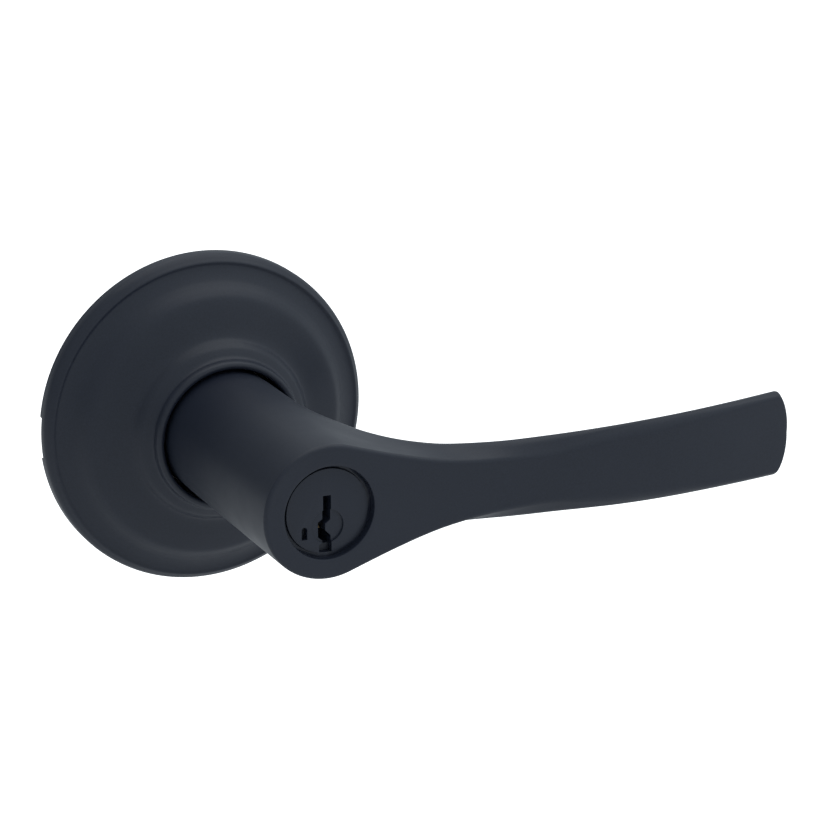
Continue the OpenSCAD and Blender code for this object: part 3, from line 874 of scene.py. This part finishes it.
        back = np.stack([
            x[:, None] + (x_mid - x)[:, None] * q,
            y_side[:, None] * np.sin(b) / math.sin(self.wrap),
            h_edge[:, None] - depth[:, None] * q], -1)
        t = np.linspace(0, 1, self.edge_columns + 1)[1:-1]
        edge = self.rounded(side[:, -1][:, None], widest[:, None], back[:, 0][:, None], t)
        ends = back[:, :1]
        return {"face": face, "crease": crease, "side": np.concatenate([side, edge, ends], 1), "back": back}

    def skin(self) -> list[Grid]:
        """Grids of the whole lever, with a ring-shaped grid round the opening in the hub's face.

        Returns:
            The outside, the face, the opening's walls and the bore for the spindle tube.
        """
        rows = self.hub_rows()
        hub, arm = self.hub_half(rows), self.arm_half()
        both = {key: np.concatenate([hub[key], arm[key]]) for key in hub}
        under = np.array([1, -1, 1])
        flat = int(rows["first_flat"][0])
        below_rim = flat + 2 - self.crease_columns
        round_it = np.concatenate([
            both["side"], both["back"][:, 1:-1], (both["side"] * under)[:, ::-1]], 1)
        round_it = np.concatenate([round_it[:below_rim], round_it[flat + 1:]])
        crease = both["crease"][flat:]
        x_face = both["face"][:, 0, 0]
        past_hub = np.arange(len(x_face)) > len(hub["face"])
        clear = int(np.argmax(past_hub & (x_face > self.lip + self.ring_room)))
        face = both["face"]
        rim = np.concatenate([
            face[flat], face[flat + 1:clear + 1, -1], face[clear, ::-1][1:], face[flat + 1:clear, 0][::-1]])
        angle = np.arctan2(rim[:, 1], rim[:, 0])
        reach = np.hypot(rim[:, 0], rim[:, 1])
        outside = [round_it, crease, crease * under, face[:flat + 1], face[clear:]]
        grids = [Grid(points) for points in outside]
        share = np.linspace(0, 1, self.ring_rows)[:, None]
        radius = reach + (self.lip + self.lip_chamfer - reach) * share
        height = rim[:, 2] + (self.face - rim[:, 2]) * share
        grids.append(Grid(self.rings(angle, radius, height), ring_columns=True))
        pocket = self.face - self.lip_t
        soft, lead_in = 0.1, 0.4
        walls = [(self.lip + self.lip_chamfer, self.face), (self.lip + soft, self.face - soft),
                 (self.lip, self.face - self.lip_chamfer), (self.lip, pocket), (self.bore, pocket),
                 (self.bore, self.hub_high), (self.bore, self.base + lead_in),
                 (self.bore + lead_in, self.base)]
        stack = [self.rings(angle, np.full((1, len(angle)), r), h) for r, h in walls]
        grids.append(Grid(np.concatenate(stack), ring_columns=True))
        return grids

    @staticmethod
    def rings(angle: np.ndarray, radius: np.ndarray, h: np.ndarray | float) -> np.ndarray:
        """Rows of points at a height, each row with its own distances from the axis."""
        x, y = radius * np.cos(angle), radius * np.sin(angle)
        return np.stack([x, y, np.broadcast_to(h, x.shape)], -1)

    def close_base(self, piece: bpy.types.Object) -> None:
        """Bridges the neck's foot to the foot of the bore, which closes the shell."""
        shape = bmesh.new()
        shape.from_mesh(piece.data)
        open_edges = [edge for edge in shape.edges if edge.is_boundary]
        bmesh.ops.bridge_loops(shape, edges=open_edges)
        bmesh.ops.recalc_face_normals(shape, faces=shape.faces)
        shape.to_mesh(piece.data)
        shape.free()

    def drill(self, piece: bpy.types.Object) -> None:
        """Drills the catch's hole into the underside of the neck, down into the bore."""
        sides, past_neck, into_bore = 48, 2.0, 1.0
        angle = np.linspace(0, 2 * math.pi, sides, endpoint=False)
        rows = np.array([-self.neck - past_neck, -self.bore + into_bore])[:, None]
        ring = np.stack([
            np.broadcast_to(self.catch_hole * np.cos(angle), (2, sides)),
            np.broadcast_to(rows, (2, sides)),
            np.broadcast_to(self.catch_h + self.catch_hole * np.sin(angle), (2, sides))], -1)
        ends = [np.stack([ring[i], ring[i] * [0, 1, 0] + [0, 0, self.catch_h]]) for i in (0, 1)]
        grids = [Grid(ring, ring_columns=True)] + [Grid(end, ring_columns=True) for end in ends]
        drill = piece_from_grids("drill", grids)
        cut = piece.modifiers.new("catch hole", "BOOLEAN")
        cut.operation = "DIFFERENCE"
        cut.solver = "EXACT"
        cut.object = drill
        graph = bpy.context.evaluated_depsgraph_get()
        drilled = bpy.data.meshes.new_from_object(piece.evaluated_get(graph))
        piece.modifiers.clear()
        old = piece.data
        piece.data = drilled
        piece.data.name = "lever"
        bpy.data.meshes.remove(old)
        bpy.data.objects.remove(drill)

    def build(self) -> bpy.types.Object:
        """Builds the lever's piece: welded grids, a closed foot and the drilled catch hole.

        Returns:
            The lever's piece.
        """
        piece = piece_from_grids("lever", self.skin())
        self.close_base(piece)
        self.drill(piece)
        piece.data.shade_smooth()
        piece.data.set_sharp_from_angle(angle=math.radians(self.sharp_deg))
        weighted = piece.modifiers.new("flat faces stay flat", "WEIGHTED_NORMAL")
        weighted.keep_sharp = True
        return piece


# ---- The frame's own parts ----
@dataclass
class LockCylinder:
    """The key cylinder in the hub, its face coated like the lever, its inside bare brass."""

    face_round: float = 0.18
    body_round: float = 0.12

    def build(self, finishes: Finishes) -> None:
        """Softens the plug and the body and dresses the tumblers, springs and tailpiece."""
        plug = softened("cylinder_plug", "plug", self.face_round, 3)
        dress(plug, finishes.black_plug)
        stand_for(plug, "cylinder_plug", "plug")
        soften_nodes([
            ("cylinder_body", "cylinder", self.body_round, finishes.black_plug, "lever", "plug_finish"),
            ("tailpiece", "tail_blade", self.face_round, finishes.plated_drawn, "plug", "plated_steel"),
        ])
        wafers = {f"wafer_{i}": finishes.brass_sheet for i in range(1, 6)}
        dress_nodes(wafers | {
            "wafer_springs": finishes.spring,
            "sidebar": finishes.brass,
            "sidebar_springs": finishes.spring,
            "plug_clip": finishes.spring,
        })


@dataclass
class Chassis:
    """What holds the set on the door: plate, sprung housing, stems and bearing."""

    sheet_round: float = 0.3
    casting_round: float = 0.4
    rivet_round: float = 0.2

    def build(self, finishes: Finishes) -> None:
        """Softens what shows behind the rose and dresses the rest."""
        sheet, turned_steel, drawn = finishes.plated_sheet, finishes.plated_turned, finishes.plated_drawn
        soften_nodes([
            ("mounting_plate", "fixing_plate", self.sheet_round, sheet, "chassis", "plated_steel"),
            ("spring_housing", "housing", self.casting_round, finishes.casting, "chassis", "zinc_casting"),
            ("spring_cover", "housing_cover", self.sheet_round, turned_steel, "chassis", "plated_steel"),
            ("mounting_stems", "stems", self.sheet_round, drawn, "chassis", "plated_steel"),
            ("plate_rivets", "rivets", self.rivet_round, turned_steel, "chassis", "plated_steel"),
        ])
        dress_nodes({
            "bearing_bush": finishes.acetal,
            "thrust_washer": finishes.plated_turned,
            "return_spring": finishes.spring,
        })


@dataclass
class Spindle:
    """The tube and half-round spindle that the lever turns, with the catch that holds it."""

    tube_round: float = 0.25

    def build(self, finishes: Finishes) -> None:
        """Softens the spindle's visible parts and dresses the rest."""
        r, drawn = self.tube_round, finishes.plated_drawn
        soften_nodes([
            ("spindle_tube", "tube", r, finishes.plated_turned, "lever", "plated_steel"),
            ("half_round_spindle", "half_spindle", r, drawn, "lever", "plated_steel"),
            ("lever_catch", "catch_pin", r, drawn, "catch", "plated_steel"),
        ])
        dress_nodes({
            "spring_driver": finishes.plated_sheet,
            "retaining_ring": finishes.spring,
            "catch_spring": finishes.spring,
        })


# ---- Studio ----
@dataclass
class Softbox:
    """A soft area light that faces the lever set."""

    name: str
    place: tuple[float, float, float]
    size: tuple[float, float]
    power: float
    aim: tuple[float, float, float] = (0.03, -0.03, 0.0)

    def build(self) -> None:
        """Hangs the light at its place and turns it to its aim."""
        data = bpy.data.lights.new(self.name, "AREA")
        data.shape = "RECTANGLE"
        data.size, data.size_y = self.size
        data.energy = self.power
        light = bpy.data.objects.new(self.name, data)
        light.location = self.place
        towards = Vector(self.aim) - Vector(self.place)
        light.rotation_euler = towards.to_track_quat("-Z", "Y").to_euler()
        bpy.context.scene.collection.objects.link(light)


@dataclass
class Studio:
    """Pale floor, soft light and the camera.

    The surround's strength is the sum of three ramps: left to right, front to behind and below to above.
    """

    floor_z: float = -0.16
    floor_half: float = 6.0
    floor_grey: float = 0.88
    left: float = 0.28
    right: float = 0.60
    behind: float = -0.20
    above: float = 0.22
    ramp_start: float = -0.7
    ramp_end: float = 0.9
    tint: tuple[float, float, float] = (0.86, 0.94, 1.0)
    backdrop: float = 1.0
    camera_place: tuple[float, float, float] = (-0.245786, -0.629561, 0.223339)
    camera_azimuth_deg: float = -25.61
    camera_elevation_deg: float = 18.33
    lens_mm: float = 130.43
    sensor_mm: float = 36.0
    clip_m: tuple[float, float] = (0.01, 50.0)

    def world(self) -> None:
        """Lights the set from a pale surround that the camera sees as plain white."""
        world = bpy.data.worlds.new("surround")
        world.use_nodes = True
        bpy.context.scene.world = world
        tree = Nodes(world.node_tree)
        split = tree.node("SeparateXYZ", {})
        tree.link(tree.node("TexCoord", {}).outputs["Generated"], split.inputs[0])
        ramps = [("X", self.left, self.right), ("Y", 0.0, self.behind), ("Z", 0.0, self.above)]
        strength = None
        for axis, low, high in ramps:
            ranged = tree.node("MapRange", {
                "From Min": self.ramp_start, "From Max": self.ramp_end, "To Min": low, "To Max": high})
            ranged.interpolation_type = "SMOOTHSTEP"
            tree.link(split.outputs[axis], ranged.inputs["Value"])
            total = tree.node("Math", {1: 0.0})
            tree.link(ranged.outputs["Result"], total.inputs[0])
            if strength is not None:
                tree.link(strength, total.inputs[1])
            strength = total.outputs[0]
        background = world.node_tree.nodes["Background"]
        background.inputs["Color"].default_value = (*self.tint, 1)
        tree.link(strength, background.inputs["Strength"])
        seen = tree.node("Background", {"Color": (1, 1, 1, 1), "Strength": self.backdrop})
        mix = tree.node("MixShader", {})
        tree.link(tree.node("LightPath", {}).outputs["Is Camera Ray"], mix.inputs["Fac"])
        tree.link(background.outputs[0], mix.inputs[1])
        tree.link(seen.outputs[0], mix.inputs[2])
        tree.link(mix.outputs[0], world.node_tree.nodes["World Output"].inputs["Surface"])

    def floor(self) -> None:
        """Lays a pale floor that the camera sees as nearly white and that throws no reflections."""
        half, z = self.floor_half, self.floor_z
        mesh = bpy.data.meshes.new("floor")
        mesh.from_pydata([(-half, -half, z), (half, -half, z), (half, half, z), (-half, half, z)], [],
                         [(0, 1, 2, 3)])
        floor = bpy.data.objects.new("floor", mesh)
        bpy.context.scene.collection.objects.link(floor)
        graph = Graph("pale_floor")
        pale = graph.blend_colours(graph.noise(graph.place, 3.0, 2.0), (0.97, 0.97, 0.97), (1.0, 1.0, 1.0))
        graph.shader.inputs["Base Color"].default_value = (*[self.floor_grey] * 3, 1)
        graph.link(pale, graph.shader.inputs["Emission Color"])
        seen = graph.node("LightPath", {}).outputs["Is Camera Ray"]
        graph.link(seen, graph.shader.inputs["Emission Strength"])
        graph.shader.inputs["Roughness"].default_value = 0.9
        graph.shader.inputs["Specular IOR Level"].default_value = 0.0
        dress(floor, graph.material)

    def lights(self) -> None:
        """Hangs the one softbox, broad and overhead."""
        Softbox("overhead", place=(0.2, 0.1, 0.9), size=(1.4, 1.0), power=2.2).build()

    def camera(self) -> None:
        """Places the camera in front, to the left and above."""
        azimuth, elevation = math.radians(self.camera_azimuth_deg), math.radians(self.camera_elevation_deg)
        back = Vector((
            math.sin(azimuth) * math.cos(elevation), -math.cos(azimuth) * math.cos(elevation),
            math.sin(elevation)))
        data = bpy.data.cameras.new("camera")
        data.lens = self.lens_mm
        data.sensor_width = self.sensor_mm
        data.clip_start, data.clip_end = self.clip_m
        camera = bpy.data.objects.new("camera", data)
        camera.location = self.camera_place
        camera.rotation_euler = (-back).to_track_quat("-Z", "Y").to_euler()
        bpy.context.scene.collection.objects.link(camera)
        bpy.context.scene.camera = camera

    def build(self) -> None:
        """Sets up the whole studio and a plain view transform."""
        self.world()
        self.floor()
        self.lights()
        self.camera()
        bpy.context.scene.view_settings.view_transform = "Standard"
        bpy.context.scene.view_settings.look = "None"


def main() -> None:
    """Builds the lever set piece by piece, then the studio."""
    logging.basicConfig(level=logging.INFO, format="%(name)s: %(message)s")
    finishes = Finishes()
    rose = Rose().build()
    dress(rose, finishes.black)
    stand_for(rose, "rose_cover", "chassis")
    lever = Lever().build()
    dress(lever, finishes.black)
    stand_for(lever, "lever_handle", "lever")
    LockCylinder().build(finishes)
    Chassis().build(finishes)
    Spindle().build(finishes)
    Studio().build()
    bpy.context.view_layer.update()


if __name__ == "__main__":
    main()
